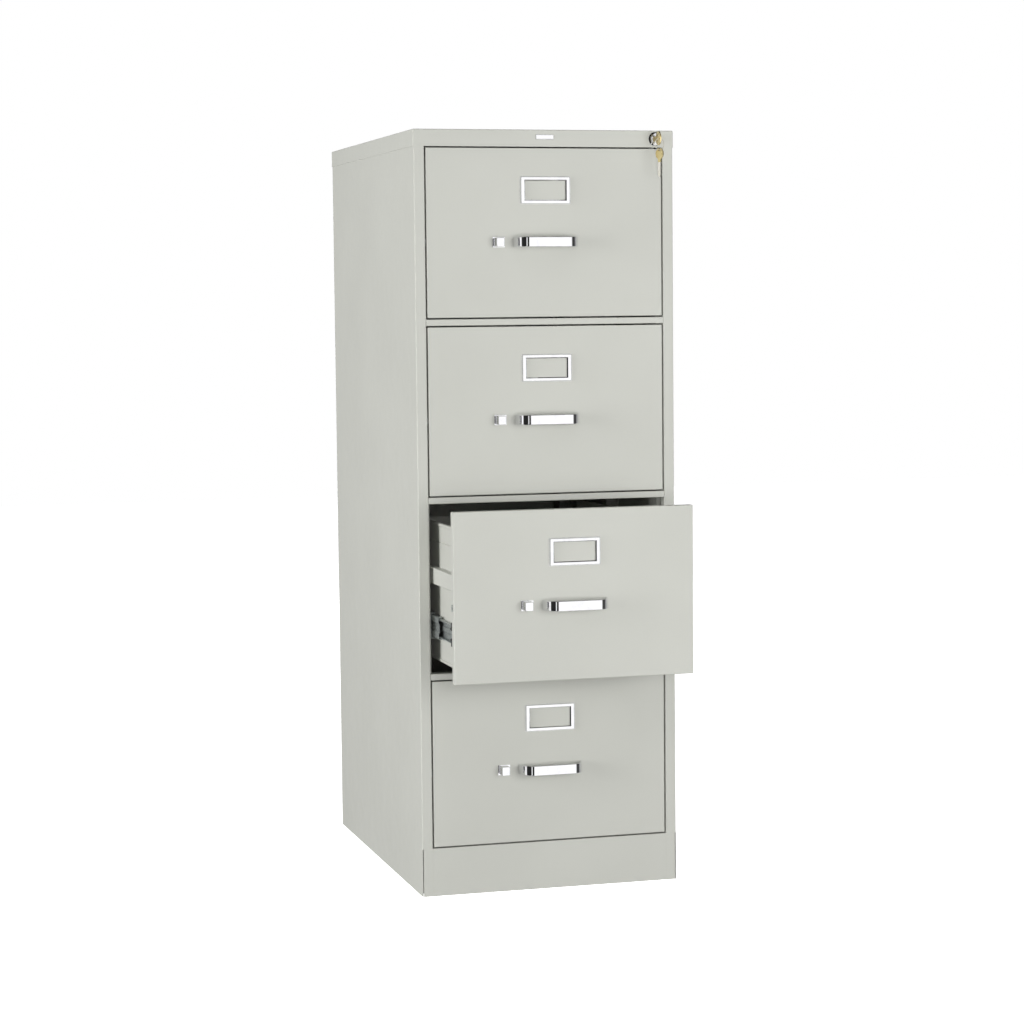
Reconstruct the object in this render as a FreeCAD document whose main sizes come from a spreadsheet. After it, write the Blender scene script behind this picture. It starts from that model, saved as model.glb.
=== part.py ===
import FreeCAD, Part
import os
import re
import Sketcher

# Four-drawer vertical filing cabinet, legal size, in millimetres.
# +X is right seen from the front, +Y is towards the back, +Z is up. The origin is on the floor at
# the centre of the case's footprint. The third drawer is stored partly open.
# A drawer's pieces are drawn in a frame of their own: y = 0 is the outer face of the drawer front
# and z = 0 is the top of the drawer's opening in the case.

DIMENSIONS = [
    # the case
    ("case_wide", 463.55), ("case_deep", 673.1), ("case_tall", 1320.8), ("case_sheet", 0.8),
    ("cap_sheet", 1.2), ("cap_return", 15.0), ("top_rail", 29.1), ("stile_wide", 18.7),
    ("stile_return", 18.0), ("rear_flange", 20.0), ("kick_tall", 83.6), ("seam", 0.6),
    ("rail_deep", 21.0), ("sill_deep", 25.0), ("drawer_pitch", 304.8), ("divider", 11.1),
    ("base_tall", 25.0), ("base_wide", 50.0), ("base_sheet", 1.5),
    ("base_front_gap", 2.0), ("base_back_gap", 5.0), ("upright_wide", 40.0), ("upright_sheet", 1.2),
    ("upright_top", 1275.0), ("upright_front_gap", 4.0), ("upright_back_gap", 10.0),
    ("rivet_radius", 3.0), ("rivet_head", 0.9), ("rivet_low", 90.0), ("rivet_step", 165.0),
    # the drawers
    ("front_gap", 2.4), ("front_thick", 14.0), ("front_sheet", 0.8), ("liner_flange", 4.5),
    ("open_one", 0.0), ("open_two", 0.0), ("open_three", 157.0), ("open_four", 0.0),
    ("tray_half", 194.0), ("tray_sheet", 0.8), ("tray_long", 605.0), ("tray_top", 33.0),
    ("tray_floor", 273.0), ("tray_back_top", 60.0), ("hem", 6.0),
    ("band_top", 109.6), ("band_low", 137.4), ("band_proud", 12.0),
    # the slides
    ("slide_drop", 212.0), ("slide_thick", 12.7), ("slide_half", 22.5), ("slide_sheet", 1.2),
    ("slide_long", 605.0), ("slide_start", 22.0), ("case_lip", 9.0), ("middle_start", 54.0),
    ("middle_half", 19.4), ("middle_edge", 3.9), ("middle_web", 10.8),
    ("runner_half", 15.6), ("runner_edge", 8.8), ("cage_long", 180.0), ("cage_outer", 1.5),
    ("cage_inner", 2.1), ("cage_inset", 20.0),
    # the label holder, the pull and the latch
    ("label_drop", 74.2), ("label_wide", 90.5), ("label_tall", 47.6), ("window_wide", 72.6),
    ("window_tall", 33.0), ("label_thick", 3.2), ("card_margin", 2.0), ("card_slot", 1.2),
    ("pull_drop", 162.8), ("pull_half", 58.0), ("pull_proud", 30.0), ("pull_tall", 17.5),
    ("pull_thick", 5.0), ("latch_travel", 8.0), ("button_left", 92.0), ("button_right", 77.0),
    ("button_tall", 16.0), ("button_proud", 16.0), ("button_base", 1.2), ("button_lift", 0.3),
    ("stem_left", 88.0), ("stem_right", 82.0), ("stem_tall", 5.0), ("bar_front", 7.0),
    ("bar_thick", 2.0), ("bar_tall", 12.0), ("bar_nose", 212.5), ("bar_end", 80.0),
    ("strike_thick", 2.0), ("strike_inset", 3.0), ("strike_margin", 12.0), ("slot_before", 1.0),
    ("slot_after", 3.0), ("slot_margin", 2.0), ("stem_play", 0.5), ("bracket_left", 180.0),
    ("bracket_right", 110.0), ("bracket_wide", 8.0), ("bracket_gap", 0.4), ("base_left", 3.0),
    ("base_right", 4.0), ("base_margin", 1.0),
    # the follower block
    ("follower_half", 188.0), ("follower_top", 75.0), ("follower_sheet", 1.6),
    ("follower_foot", 70.0), ("follower_back", 25.0), ("follower_lip", 12.0), ("foot_inset", 20.0),
    ("foot_gap", 0.4), ("tongue_gap", 0.6), ("guide_tall", 4.0), ("guide_gap", 6.0),
    ("guide_wide", 8.0), ("guide_front", 10.0), ("guide_back", 5.0),
    # the lock, its bar, the keys and the badge
    ("lock_place", 200.0), ("lock_height", 1306.3), ("ring_radius", 12.0), ("ring_proud", 2.5),
    ("barrel_radius", 9.5), ("barrel_long", 20.0), ("plug_radius", 6.5), ("plug_bore", 7.0),
    ("plug_long", 22.0), ("plug_proud", 1.5), ("keyway_wide", 2.6), ("keyway_tall", 9.0),
    ("keyway_deep", 17.0), ("cam_thick", 2.5), ("cam_reach", 22.0), ("cam_wide", 10.0),
    ("cam_hub", 7.0), ("key_thick", 2.2), ("bow_radius", 12.0), ("bow_out", 19.0),
    ("bow_hole", 2.6), ("hole_out", 24.5), ("neck_out", 11.0), ("neck_tall", 10.0),
    ("neck_stop", 3.0), ("blade_out", 4.0), ("blade_in", 15.0), ("blade_half", 3.5),
    ("wire_ring", 10.0), ("wire_radius", 0.7), ("ring_turn", 22.0), ("spare_bow", 9.5),
    ("spare_hole", 2.4), ("spare_drop", 6.8), ("spare_blade", 30.0),
    ("lock_bar_low", 95.0), ("lock_bar_top", 1290.0), ("lock_bar_thick", 2.0),
    ("lock_bar_in", 3.0), ("lock_bar_side", 4.0), ("tab_in", 2.0), ("tab_wide", 3.0),
    ("tab_tall", 20.0), ("tab_deep", 14.0), ("lug_wide", 7.0), ("lug_tall", 4.0),
    ("lug_gap", 1.0), ("keeper_in", 5.6), ("keeper_thick", 1.5), ("keeper_tall", 24.0),
    ("keeper_one", 250.0), ("keeper_two", 560.0), ("keeper_three", 1050.0),
    ("badge_wide", 32.0), ("badge_tall", 8.5), ("badge_height", 1308.2), ("badge_thick", 1.0),
]
ALIASES = {alias for alias, value in DIMENSIONS}
DRAWER_OPEN = ("open_one", "open_two", "open_three", "open_four")
KEEPERS = ("keeper_one", "keeper_two", "keeper_three")
# The pull's curve: (how far in from its end, share of how far it stands proud).
PULL_OUTSIDE = ((0, 0), (3, 0.4), (8, 0.8), (12, 0.95), (18, 1))
PULL_INSIDE = ((14, 1), (9, 0.78), (4, 0.4), (1, 0))

# Places that many pieces share, as expressions over the sheet's cells.
HALF = "(case_wide / 2)"
FRONT = "(-case_deep / 2)"
BACK = "(case_deep / 2 - cap_sheet - case_sheet)"
STILE = "(case_wide / 2 - stile_wide)"
SLIDE_OUT = "(tray_half + slide_thick)"
LATCH_LEVEL = "(-pull_drop)"

doc = FreeCAD.newDocument("filing_cabinet")
sheet = doc.addObject("Spreadsheet::Sheet", "dims")
sub_parts = []


def fill_sheet():
    """Write every driving dimension and its alias into the sheet."""
    for row, (alias, value) in enumerate(DIMENSIONS, start=1):
        sheet.set(f"A{row}", alias)
        sheet.set(f"B{row}", str(value))
        sheet.setAlias(f"B{row}", alias)
    doc.recompute()


def bound(text):
    """Turn aliases in an expression into references to the sheet's cells."""
    return re.sub(r"[a-z_]+", lambda word: "dims." + word[0] if word[0] in ALIASES else word[0], text)


def value_of(text):
    """The present value of an expression over the aliases."""
    result = sheet.evalExpression(bound(text))
    return float(getattr(result, "Value", result))


def bind(item, prop, text):
    item.setExpression(prop, bound(text))


def place(item, x="0", y="0", z="0"):
    """Bind an object's position to the sheet."""
    bind(item, "Placement.Base.x", x)
    bind(item, "Placement.Base.y", y)
    bind(item, "Placement.Base.z", z)
    return item


def box(x, y, z):
    """A box from three (low, high) pairs of expressions."""
    item = doc.addObject("Part::Box", "Box")
    for prop, (low, high) in (("Length", x), ("Width", y), ("Height", z)):
        bind(item, prop, f"({high}) - ({low})")
    return place(item, x[0], y[0], z[0])


def both_ways(half):
    return f"-({half})", half


def around(middle, size):
    return f"({middle}) - ({size}) / 2", f"({middle}) + ({size}) / 2"


def cylinder(axis, radius, length, x, y, z):
    """A cylinder that runs from its place along the given axis."""
    item = doc.addObject("Part::Cylinder", "Cylinder")
    bind(item, "Radius", radius)
    bind(item, "Height", length)
    item.Placement.Rotation = FreeCAD.Rotation(FreeCAD.Vector(0, 0, 1), FreeCAD.Vector(*axis))
    return place(item, x, y, z)


def fuse(pieces):
    """Join pieces, or group them where they don't touch."""
    if len(pieces) == 1:
        return pieces[0]
    item = doc.addObject("Part::MultiFuse", "Fusion")
    item.Shapes = pieces
    item.Refine = True
    return item


def cut(base, tools):
    """Cut tools out of a base. A tool overruns what it cuts by about 1 mm."""
    item = doc.addObject("Part::Cut", "Cut")
    item.Base = base
    item.Tool = fuse(tools)
    item.Refine = True
    return item


def draw_loop(sketch, points):
    """Add one closed outline whose corners are bound to the sheet."""
    first = sketch.GeometryCount
    corners = [FreeCAD.Vector(value_of(x), value_of(y), 0) for x, y in points]
    count = len(corners)
    for here in range(count):
        sketch.addGeometry(Part.LineSegment(corners[here], corners[(here + 1) % count]), False)
    for here in range(count):
        following = first + (here + 1) % count
        sketch.addConstraint(Sketcher.Constraint("Coincident", first + here, 2, following, 1))
    for here, (x, y) in enumerate(points):
        for kind, text in (("DistanceX", x), ("DistanceY", y)):
            rule = Sketcher.Constraint(kind, -1, 1, first + here, 1, value_of(text))
            index = sketch.addConstraint(rule)
            bind(sketch, f"Constraints[{index}]", text)


def extrusion(plane, loops, length):
    """A body padded from outlines on its own XY, XZ or YZ plane, towards +Z, +Y or +X."""
    body = doc.addObject("PartDesign::Body", "Body")
    body.AllowCompound = True
    sketch = body.newObject("Sketcher::SketchObject", "Outline")
    origin_plane = [item for item in body.Origin.OriginFeatures if item.Role == plane + "_Plane"][0]
    sketch.AttachmentSupport = [(origin_plane, "")]
    sketch.MapMode = "FlatFace"
    for points in loops:
        draw_loop(sketch, points)
    pad = body.newObject("PartDesign::Pad", "Pad")
    pad.Profile = sketch
    pad.Reversed = plane == "XZ"
    bind(pad, "Length", length)
    return body


def mirror_x(points):
    """The same outline on the other side of x = 0."""
    return [(f"-({x})", y) for x, y in points]


def name_part(item, label):
    """Make an object a sub-part: its label is its file's name."""
    item.Label = label
    sub_parts.append(item)
    return item


def opening_top(number):
    """Height of a drawer opening's top edge, counted from the top drawer as 0."""
    return f"(case_tall - top_rail - {number} * drawer_pitch)"


# ---------------------------------------------------------------------------------------- case

def side_outline():
    """Plan of the right side panel: front stile with its return, the side and a rear flange."""
    inner_stile = f"{STILE} + case_sheet"
    return [
        (HALF, FRONT), (STILE, FRONT), (STILE, f"{FRONT} + stile_return"),
        (inner_stile, f"{FRONT} + stile_return"), (inner_stile, f"{FRONT} + case_sheet"),
        (f"{HALF} - case_sheet", f"{FRONT} + case_sheet"),
        (f"{HALF} - case_sheet", f"{BACK} - case_sheet"),
        (f"{HALF} - rear_flange", f"{BACK} - case_sheet"), (f"{HALF} - rear_flange", BACK),
        (HALF, BACK),
    ]


def side_notches(flip):
    """Cuts that let the kick plate pass below the stile and the top rail pass above it."""
    def across(low, high):
        return (f"-({high})", f"-({low})") if flip else (low, high)
    clear = ("-1", "kick_tall")
    whole = across(f"{STILE} - 1", f"{HALF} + 1")
    return [
        box(across(f"{STILE} - 1", f"{HALF} - case_sheet"),
            (f"{FRONT} - 1", f"{FRONT} + stile_return + 1"), clear),
        box(whole, (f"{FRONT} - 1", f"{FRONT} + case_sheet + seam"), clear),
        box(whole, (f"{FRONT} - 1", f"{FRONT} + cap_sheet"), ("case_tall - top_rail", "case_tall")),
    ]


def latch_slots():
    """Slots in the left stile's return, where the latch noses point."""
    slots = []
    for number in range(4):
        slots.append(box((f"-({STILE} + case_sheet + 1)", f"-({STILE} - 1)"),
                         (f"{FRONT} + bar_front - slot_before",
                          f"{FRONT} + bar_front + bar_thick + slot_after"),
                         around(f"{opening_top(number)} - pull_drop", "bar_tall + 2 * slot_margin")))
    return slots


def build_case_sides():
    tall = "case_tall - cap_sheet"
    right = extrusion("XY", [side_outline()], tall)
    name_part(cut(right, side_notches(flip=False)), "case_side_right")
    left = extrusion("XY", [mirror_x(side_outline())], tall)
    name_part(cut(left, side_notches(flip=True) + latch_slots()), "case_side_left")


def build_case_top():
    """The cap: its skirt laps the sides and forms the top rail in front."""
    wide = f"{HALF} + cap_sheet"
    deep = (FRONT, "case_deep / 2")
    skirt = ("case_tall - top_rail", "case_tall")
    plates = [
        box(both_ways(wide), deep, ("case_tall - cap_sheet", "case_tall")),
        box(both_ways(wide), (FRONT, f"{FRONT} + cap_sheet"), skirt),
        box(both_ways(wide), ("case_deep / 2 - cap_sheet", "case_deep / 2"), skirt),
        box((HALF, wide), deep, skirt),
        box((f"-({wide})", f"-({HALF})"), deep, skirt),
        box(both_ways(STILE), (FRONT, f"{FRONT} + cap_return"),
            ("case_tall - top_rail", "case_tall - top_rail + cap_sheet")),
    ]
    lock_hole = cylinder((0, 1, 0), "barrel_radius", "10", "lock_place", f"{FRONT} - 5", "lock_height")
    name_part(cut(fuse(plates), [lock_hole]), "case_top")


def build_case_back():
    back = box(both_ways(HALF), (BACK, f"{BACK} + case_sheet"), ("0", "case_tall - cap_sheet"))
    name_part(back, "case_back")


def build_kick_plate():
    plates = [
        box(both_ways(HALF), (FRONT, f"{FRONT} + case_sheet"), ("0", "kick_tall")),
        box(both_ways(STILE), (FRONT, f"{FRONT} + rail_deep"), ("kick_tall - case_sheet", "kick_tall")),
        box(both_ways(f"{HALF} - case_sheet - 1"), (FRONT, f"{FRONT} + sill_deep"), ("0", "case_sheet")),
    ]
    name_part(fuse(plates), "kick_plate")


def channel(low, high, near, far, thick):
    """A channel outline with its web at near and its open side at far."""
    return [
        (near, low), (near, high), (far, high), (far, f"{high} - {thick}"),
        (f"{near} + {thick}", f"{high} - {thick}"), (f"{near} + {thick}", f"{low} + {thick}"),
        (far, f"{low} + {thick}"), (far, low),
    ]


def build_front_rails():
    """The three divider rails between the drawers."""
    loops = []
    for number in range(1, 4):
        top = opening_top(number)
        loops.append(channel(top, f"({top} + divider)", FRONT, f"({FRONT} + rail_deep)", "case_sheet"))
    rails = extrusion("YZ", loops, f"2 * {STILE}")
    name_part(place(rails, f"-{STILE}"), "front_rails")


def upright_starts():
    """Front edge of the three uprights on each side."""
    return (f"({FRONT} + stile_return + upright_front_gap)", "(-upright_wide / 2)",
            f"({BACK} - upright_wide - upright_back_gap)")


def build_inner_uprights():
    """Six vertical channels that carry the slides."""
    loops = []
    for start in upright_starts():
        end = f"({start} + upright_wide)"
        turned = channel(start, end, SLIDE_OUT, f"({HALF} - case_sheet)", "upright_sheet")
        loops += [turned, mirror_x(turned)]
    uprights = extrusion("XY", loops, "upright_top - base_tall")
    name_part(place(uprights, z="base_tall"), "inner_uprights")


def build_base_frame():
    """Three cross channels that stand on the floor, webs down."""
    starts = (f"({FRONT} + sill_deep + base_front_gap)", "(-base_wide / 2)",
              f"({BACK} - base_wide - base_back_gap)")
    loops = []
    for start in starts:
        end = f"({start} + base_wide)"
        loops.append([
            (start, "0"), (end, "0"), (end, "base_tall"), (f"{end} - base_sheet", "base_tall"),
            (f"{end} - base_sheet", "base_sheet"), (f"{start} + base_sheet", "base_sheet"),
            (f"{start} + base_sheet", "base_tall"), (start, "base_tall"),
        ])
    inside = f"({HALF} - case_sheet)"
    name_part(place(extrusion("YZ", loops, f"2 * {inside}"), f"-{inside}"), "base_frame")


def build_slide_case_members():
    """Eight lipped channels, one each side of each drawer."""
    loops = []
    for number in range(4):
        middle = f"({opening_top(number)} - slide_drop)"
        low, high = f"({middle} - slide_half)", f"({middle} + slide_half)"
        lip = f"({SLIDE_OUT} - case_lip)"
        web = f"({SLIDE_OUT} - slide_sheet)"
        right = [
            (SLIDE_OUT, low), (SLIDE_OUT, high), (lip, high), (lip, f"{high} - slide_sheet"),
            (web, f"{high} - slide_sheet"), (web, f"{low} + slide_sheet"),
            (lip, f"{low} + slide_sheet"), (lip, low),
        ]
        loops += [right, mirror_x(right)]
    members = extrusion("XZ", loops, "slide_long")
    name_part(place(members, y=f"{FRONT} + slide_start"), "slide_case_members")


def build_latch_strikes():
    """Slotted plates behind the left stile's return, one for each latch nose."""
    strikes = []
    inner = f"{STILE} + case_sheet"
    for number in range(4):
        level = f"{opening_top(number)} - pull_drop"
        plate = box((f"-({inner} + strike_thick)", f"-({inner})"),
                    (f"{FRONT} + strike_inset", f"{FRONT} + stile_return - 1"),
                    around(level, "bar_tall + 2 * strike_margin"))
        slot = box((f"-({inner} + strike_thick + 1)", f"-({inner} - 1)"),
                   (f"{FRONT} + bar_front - slot_before", f"{FRONT} + bar_front + bar_thick + slot_after"),
                   around(level, "bar_tall + 2 * slot_margin"))
        strikes.append(cut(plate, [slot]))
    name_part(fuse(strikes), "latch_strikes")


def build_case_fasteners():
    """Rivets that hold the back panel to the sides' rear flanges."""
    rivets = []
    for number in range(8):
        for side in ("-", ""):
            rivets.append(cylinder((0, 1, 0), "rivet_radius", "rivet_head",
                                   f"{side}({HALF} - rear_flange / 2)", f"{BACK} + case_sheet",
                                   f"rivet_low + {number} * rivet_step"))
    name_part(fuse(rivets), "case_fasteners")


def build_badge():
    badge = box(both_ways("badge_wide / 2"), (f"{FRONT} - badge_thick", FRONT),
                around("badge_height", "badge_tall"))
    name_part(badge, "badge_plate")


# ---------------------------------------------------------------------------------------- lock

def lock_cylinder(radius, start, end):
    """A cylinder on the lock's axis, between two depths counted from the case's face."""
    return cylinder((0, 1, 0), radius, f"({end}) - ({start})", "lock_place", f"{FRONT} + ({start})",
                    "lock_height")


def build_lock():
    housing = fuse([lock_cylinder("ring_radius", "-ring_proud", "0"),
                    lock_cylinder("barrel_radius", "0", "barrel_long")])
    name_part(cut(housing, [lock_cylinder("plug_bore", "-ring_proud - 1", "barrel_long + 1")]),
              "lock_housing")
    keyway = box(around("lock_place", "keyway_wide"), (f"{FRONT} - 5", f"{FRONT} + keyway_deep"),
                 around("lock_height", "keyway_tall"))
    name_part(cut(lock_cylinder("plug_radius", "-plug_proud", "plug_long"), [keyway]), "lock_plug")
    arm = box(around("lock_place", "cam_wide"),
              (f"{FRONT} + plug_long", f"{FRONT} + plug_long + cam_thick"),
              ("lock_height - cam_reach", "lock_height"))
    hub = lock_cylinder("cam_hub", "plug_long", "plug_long + cam_thick")
    name_part(fuse([arm, hub]), "lock_cam")


def build_key_in_lock():
    """The key that stands in the plug, its bow upright and edge-on to the front."""
    flat = around("lock_place", "key_thick")
    bow = cylinder((1, 0, 0), "bow_radius", "key_thick", flat[0], f"{FRONT} - bow_out", "lock_height")
    neck = box(flat, (f"{FRONT} - neck_out", f"{FRONT} - neck_stop"), around("lock_height", "neck_tall"))
    blade = box(flat, (f"{FRONT} - blade_out", f"{FRONT} + blade_in"),
                around("lock_height", "2 * blade_half"))
    hole = cylinder((1, 0, 0), "bow_hole", "10", "lock_place - 5", f"{FRONT} - hole_out", "lock_height")
    name_part(cut(fuse([bow, neck, blade]), [hole]), "key_in_lock")


def ring_heading():
    """The turn about the upright axis that the key ring and the spare key share."""
    return FreeCAD.Rotation(FreeCAD.Vector(0, 0, 1), value_of("ring_turn"))


def build_key_ring():
    ring = doc.addObject("Part::Torus", "Torus")
    bind(ring, "Radius1", "wire_ring")
    bind(ring, "Radius2", "wire_radius")
    upright = FreeCAD.Rotation(FreeCAD.Vector(0, 0, 1), FreeCAD.Vector(0, 1, 0))
    ring.Placement.Rotation = ring_heading().multiply(upright)
    place(ring, "lock_place", f"{FRONT} - hole_out", "lock_height - wire_ring")
    name_part(ring, "key_ring")


def build_spare_key():
    """A second key that hangs on the ring, drawn at the origin from its hole and then placed."""
    flat = around("0", "key_thick")
    bow = cylinder((1, 0, 0), "spare_bow", "key_thick", flat[0], "0", "-spare_drop")
    blade = box(flat, both_ways("blade_half"), ("-spare_drop - spare_bow - spare_blade", "-spare_drop"))
    hole = cylinder((1, 0, 0), "spare_hole", "10", "-5", "0", "0")
    key = cut(fuse([bow, blade]), [hole])
    key.Placement.Rotation = ring_heading()
    place(key, "lock_place", f"{FRONT} - hole_out", "lock_height - 2 * wire_ring")
    name_part(key, "spare_key")


def build_lock_bar():
    """The bar in the right stile that the cam lifts, with a stop tab for each drawer."""
    start = f"{FRONT} + lock_bar_in"
    pieces = [box((f"{STILE} + lock_bar_in", f"{HALF} - lock_bar_side"),
                  (start, f"{start} + lock_bar_thick"), ("lock_bar_low", "lock_bar_top"))]
    for number in range(4):
        pieces.append(box((f"{STILE} + tab_in", f"{STILE} + tab_in + tab_wide"),
                          (start, f"{FRONT} + tab_deep"),
                          around(f"{opening_top(number)} - tray_top", "tab_tall")))
    pieces.append(box((f"{STILE} + lock_bar_in", f"{STILE} + lock_bar_in + lug_wide"),
                      (start, f"{FRONT} + plug_long - lug_gap"),
                      ("lock_bar_top - lug_tall", "lock_bar_top")))
    name_part(fuse(pieces), "lock_bar")
    guides = []
    for height in KEEPERS:
        guides.append(box((f"{STILE} + case_sheet", f"{HALF} - case_sheet"),
                          (f"{FRONT} + keeper_in", f"{FRONT} + keeper_in + keeper_thick"),
                          around(height, "keeper_tall")))
    name_part(fuse(guides), "lock_bar_guides")


# -------------------------------------------------------------------------------------- drawers

def tray_outline():
    """Section of the drawer body: floor, sides with a pressed-out band, and in-turned top hems."""
    inner = "(tray_half - tray_sheet)"
    band = "(tray_half + band_proud)"
    right_outer = [
        ("tray_half", "-tray_floor"), ("tray_half", "-band_low"), (band, "-band_low"),
        (band, "-band_top"), ("tray_half", "-band_top"), ("tray_half", "-tray_top"),
    ]
    right_inner = [
        ("tray_half - hem", "-tray_top"), ("tray_half - hem", "-tray_top - tray_sheet"),
        (inner, "-tray_top - tray_sheet"), (inner, "-band_top - tray_sheet"),
        (f"{band} - tray_sheet", "-band_top - tray_sheet"),
        (f"{band} - tray_sheet", "-band_low + tray_sheet"), (inner, "-band_low + tray_sheet"),
        (inner, "-tray_floor + tray_sheet"),
    ]
    right = right_outer + right_inner
    return right + mirror_x(reversed(right))


def tray():
    walls = place(extrusion("XZ", [tray_outline()], "tray_long"), y="front_thick")
    end = "front_thick + tray_long"
    back = box(both_ways("tray_half - tray_sheet"), (f"{end} - tray_sheet", end),
               ("-tray_floor", "-tray_back_top"))
    pieces = [walls, back]
    floor = "-tray_floor + tray_sheet"
    for low, high in (("guide_gap", "guide_gap + guide_wide"), ("-guide_gap - guide_wide", "-guide_gap")):
        pieces.append(box((low, high), ("front_thick + guide_front", f"{end} - guide_back"),
                          (floor, f"{floor} + guide_tall")))
    return fuse(pieces)


def front_face():
    """The outer pan of the double-walled front, with the latch's two slots."""
    half = "case_wide / 2 - stile_wide - front_gap"
    low = "-(drawer_pitch - divider - front_gap)"
    outer = box(both_ways(half), ("0", "front_thick"), (low, "-front_gap"))
    hollow = box(both_ways(f"{half} - front_sheet"), ("front_sheet", "front_thick + 1"),
                 (f"{low} + front_sheet", "-front_gap - front_sheet"))
    stem_slot = box(("-stem_left - stem_play", "-stem_right + latch_travel + stem_play"),
                    ("-1", "front_sheet + 1"), around(LATCH_LEVEL, "stem_tall + 2 * stem_play"))
    nose_slot = box((f"-({half} + 1)", f"-({half} - front_sheet - 1)"),
                    ("bar_front - slot_before", "bar_front + bar_thick + slot_before"),
                    around(LATCH_LEVEL, "bar_tall + slot_margin"))
    return cut(outer, [hollow, stem_slot, nose_slot])


def front_liner():
    """The inner pan that closes the front, with two brackets behind the latch bar."""
    half = "case_wide / 2 - stile_wide - front_gap - front_sheet"
    low = "-(drawer_pitch - divider - front_gap - front_sheet)"
    top = "-front_gap - front_sheet"
    outer = box(both_ways(half), ("front_thick - liner_flange", "front_thick"), (low, top))
    hollow = box(both_ways(f"{half} - front_sheet"), ("0", "front_thick - front_sheet"),
                 (f"{low} + front_sheet", f"{top} - front_sheet"))
    brackets = []
    for middle in ("-bracket_left", "-bracket_right"):
        brackets.append(box(around(middle, "bracket_wide"),
                            ("bar_front + bar_thick + bracket_gap", "front_thick - front_sheet"),
                            around(LATCH_LEVEL, "bar_tall + 2 * slot_margin")))
    return fuse([cut(outer, [hollow])] + brackets)


def label_holder():
    """A raised frame with a card slot behind its window, which is open at the top."""
    middle = "-label_drop"
    outer = box(both_ways("label_wide / 2"), ("-label_thick", "0"), around(middle, "label_tall"))
    window = box(both_ways("window_wide / 2"), ("-label_thick - 1", "1"), around(middle, "window_tall"))
    slot = box(both_ways("window_wide / 2 + card_margin"), ("-card_slot", "1"),
               (f"{middle} - window_tall / 2 - card_margin", f"{middle} + window_tall / 2"))
    return cut(outer, [window, slot])


def pull():
    """A bow pull: flat bar in front and ends that slope back to the drawer front."""
    right = [(f"pull_half - {inset}", f"-pull_proud * {share}") for inset, share in PULL_OUTSIDE]
    right_inner = [(f"pull_half - pull_thick - {inset}", f"(pull_thick - pull_proud) * {share}")
                   for inset, share in PULL_INSIDE]
    left = mirror_x(reversed(right))
    left_inner = mirror_x(reversed(right_inner))
    bow = extrusion("XY", [right + left + left_inner + right_inner], "pull_tall")
    return place(bow, z="-pull_drop - pull_tall / 2")


def runners():
    """The pair of slide members that are screwed to the drawer's sides."""
    low, high = "(-slide_drop - runner_half)", "(-slide_drop + runner_half)"
    right = channel(low, high, "tray_half", "(tray_half + runner_edge)", "slide_sheet")
    return place(extrusion("XZ", [right, mirror_x(right)], "slide_long"), y="slide_start")


def slide_middle():
    """The pair of telescoping middle members, with the ball cages that run in their races."""
    low, high = "(-slide_drop - middle_half)", "(-slide_drop + middle_half)"
    web, edge = "(tray_half + middle_web)", "(tray_half + middle_edge)"
    right = [
        (web, low), (web, high), (edge, high), (edge, f"{high} - slide_sheet"),
        (f"{web} - slide_sheet", f"{high} - slide_sheet"),
        (f"{web} - slide_sheet", f"{low} + slide_sheet"), (edge, f"{low} + slide_sheet"), (edge, low),
    ]
    length = "(slide_long + slide_start - middle_start)"
    pieces = [place(extrusion("XZ", [right, mirror_x(right)], length), y="middle_start")]
    cage = (f"{edge} + 1", f"{web} - slide_sheet - 1")
    inner_run = ("middle_start + cage_inset", "middle_start + cage_inset + cage_long")
    outer_run = (f"middle_start + {length} - cage_inset - cage_long",
                 f"middle_start + {length} - cage_inset")
    levels = (
        (outer_run, high, f"{high} + cage_outer"),
        (outer_run, f"{low} - cage_outer", low),
        (inner_run, f"{high} - slide_sheet - cage_inner", f"{high} - slide_sheet"),
        (inner_run, f"{low} + slide_sheet", f"{low} + slide_sheet + cage_inner"),
    )
    for run, bottom, top in levels:
        pieces.append(box(cage, run, (bottom, top)))
        pieces.append(box((f"-({cage[1]})", f"-({cage[0]})"), run, (bottom, top)))
    return fuse(pieces)


def latch_button():
    """The square thumb piece, its sliding base plate and the stem through the front."""
    face = "-button_base - button_lift"
    base = box(("-button_left - base_left", "-button_right + base_right"), (face, "-button_lift"),
               around(LATCH_LEVEL, "button_tall + 2 * base_margin"))
    thumb = box(("-button_left", "-button_right"), ("-button_proud", face),
                around(LATCH_LEVEL, "button_tall"))
    stem = box(("-stem_left", "-stem_right"), (face, "bar_front"), around(LATCH_LEVEL, "stem_tall"))
    return fuse([base, thumb, stem])


def latch_bar():
    return box(("-bar_nose", "-bar_end"), ("bar_front", "bar_front + bar_thick"),
               around(LATCH_LEVEL, "bar_tall"))


def follower():
    """The sliding plate that stands papers up: plate, foot and a tongue between the guides."""
    end = "front_thick + tray_long - follower_back"
    foot_low = "-tray_floor + tray_sheet + guide_tall + foot_gap"
    foot_top = f"{foot_low} + follower_sheet"
    pieces = [
        box(both_ways("follower_half"), (f"{end} - follower_sheet", end), (foot_low, "-follower_top")),
        box(both_ways("follower_half - foot_inset"), (f"{end} - follower_foot", end), (foot_low, foot_top)),
        box(both_ways("guide_gap - tongue_gap"), (f"{end} - follower_foot", end),
            ("-tray_floor + tray_sheet + tongue_gap", foot_low)),
        box(both_ways("follower_half"), (f"{end} - follower_lip", end),
            ("-follower_top - follower_sheet", "-follower_top")),
    ]
    return fuse(pieces)


DRAWER_PIECES = (
    ("tray", tray), ("front", front_face), ("front_liner", front_liner),
    ("label_holder", label_holder), ("pull", pull), ("runners", runners),
    ("latch_button", latch_button), ("latch_bar", latch_bar), ("follower", follower),
)


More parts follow.
